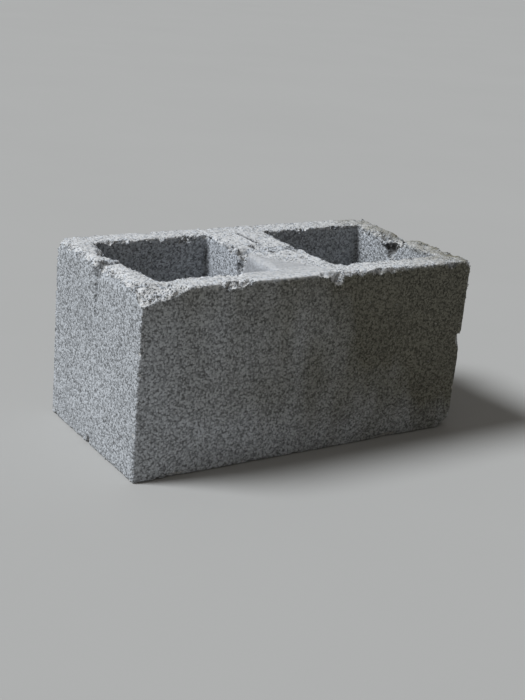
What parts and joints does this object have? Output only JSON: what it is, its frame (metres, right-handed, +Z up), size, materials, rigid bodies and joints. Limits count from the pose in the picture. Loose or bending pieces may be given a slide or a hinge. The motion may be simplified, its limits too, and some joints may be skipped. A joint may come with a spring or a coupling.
{
  "type": "hollow concrete block",
  "caption": "Hollow concrete masonry block with open tapered cores, a thick slotted middle web and a notch along its top across every cross wall.",
  "frame": {"origin": "centre of the bottom bed face, which the block stands on", "axes": "+X along the block's length, +Y across its width, +Z up through the open cores to the notched bed face"},
  "size_m": [0.39, 0.19, 0.19],
  "materials": {
    "concrete": "rough, open granular"
  },
  "bodies": {
    "root": {"hollow_block": "concrete"}
  },
  "joints": []
}
